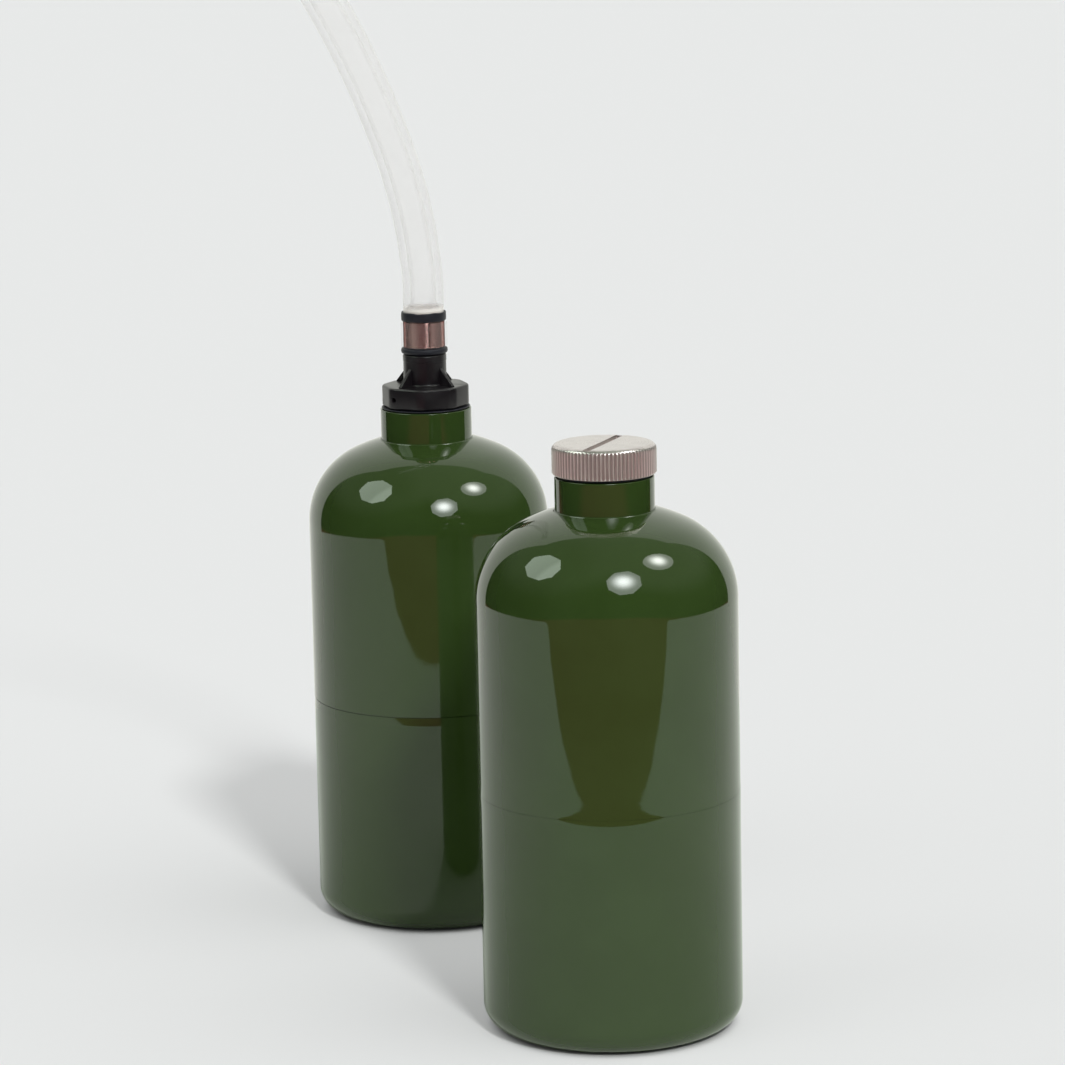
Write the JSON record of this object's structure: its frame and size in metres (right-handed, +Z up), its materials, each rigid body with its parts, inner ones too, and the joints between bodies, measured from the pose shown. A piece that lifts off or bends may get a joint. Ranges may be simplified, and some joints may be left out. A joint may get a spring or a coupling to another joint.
{
  "type": "fuel can pair",
  "caption": "Green steel bottle-shaped fuel cans, one shut by a knurled slotted screw plug, the other fitted with a black hose coupling and a clear hose.",
  "frame": {"origin": "On the surface that the cans stand on, midway between the two cans' axes.", "axes": "+Z up, +Y from the front can towards the rear one, +X to the right as seen from the front."},
  "size_m": [0.229, 0.2986, 0.4927],
  "materials": {
    "green_enamel": "gloss olive green enamel",
    "turned_steel": "fine turned stainless steel",
    "nipple_metal": "polished, warm reflections",
    "black_moulding": "satin black moulding",
    "black_rubber": "matt black rubber",
    "clear_hose": "clear flexible hose"
  },
  "bodies": {
    "front_can": {"front_lower_shell": "green_enamel", "front_upper_shell": "green_enamel", "front_girth_weld": "green_enamel", "front_neck_socket": "green_enamel", "front_neck_weld": "green_enamel"},
    "cap_seal": {"cap_gasket": "black_rubber"},
    "cap": {"screw_cap": "turned_steel"},
    "rear_can": {"rear_lower_shell": "green_enamel", "rear_upper_shell": "green_enamel", "rear_girth_weld": "green_enamel", "rear_neck_socket": "green_enamel", "rear_neck_weld": "green_enamel"},
    "coupling_seal": {"coupling_gasket": "black_rubber"},
    "coupling": {"hose_coupling": "black_moulding", "dip_tube": "turned_steel", "stop_ring": "black_rubber", "hose_nipple": "nipple_metal", "clamp_band": "black_rubber", "hose_cuff": "clear_hose", "free_hose": "clear_hose"}
  },
  "joints": [
    {"name": "cap_rise", "type": "slide", "parent": "front_can", "child": "cap_seal", "axis": [0, 0, 1], "range_m": [0, 0.012]},
    {"name": "cap_turn", "type": "hinge", "parent": "cap_seal", "child": "cap", "pos_m": [0.0389, -0.0943, 0.2358], "axis": [0, 0, 1], "range_deg": [0, 1870]},
    {"name": "rear_can_lift", "type": "slide", "parent": "front_can", "child": "rear_can", "axis": [0, 0, 1], "range_m": [0, 0.28]},
    {"name": "coupling_rise", "type": "slide", "parent": "rear_can", "child": "coupling_seal", "axis": [0, 0, 1], "range_m": [0, 0.012]},
    {"name": "coupling_turn", "type": "hinge", "parent": "coupling_seal", "child": "coupling", "pos_m": [-0.0389, 0.0943, 0.2358], "axis": [0, 0, 1], "range_deg": [0, 1870]}
  ],
  "couplings": [
    {"joint": "cap_rise", "follows": "cap_turn", "m_per_rad": 0.00036749},
    {"joint": "coupling_rise", "follows": "coupling_turn", "m_per_rad": 0.00036749}
  ]
}
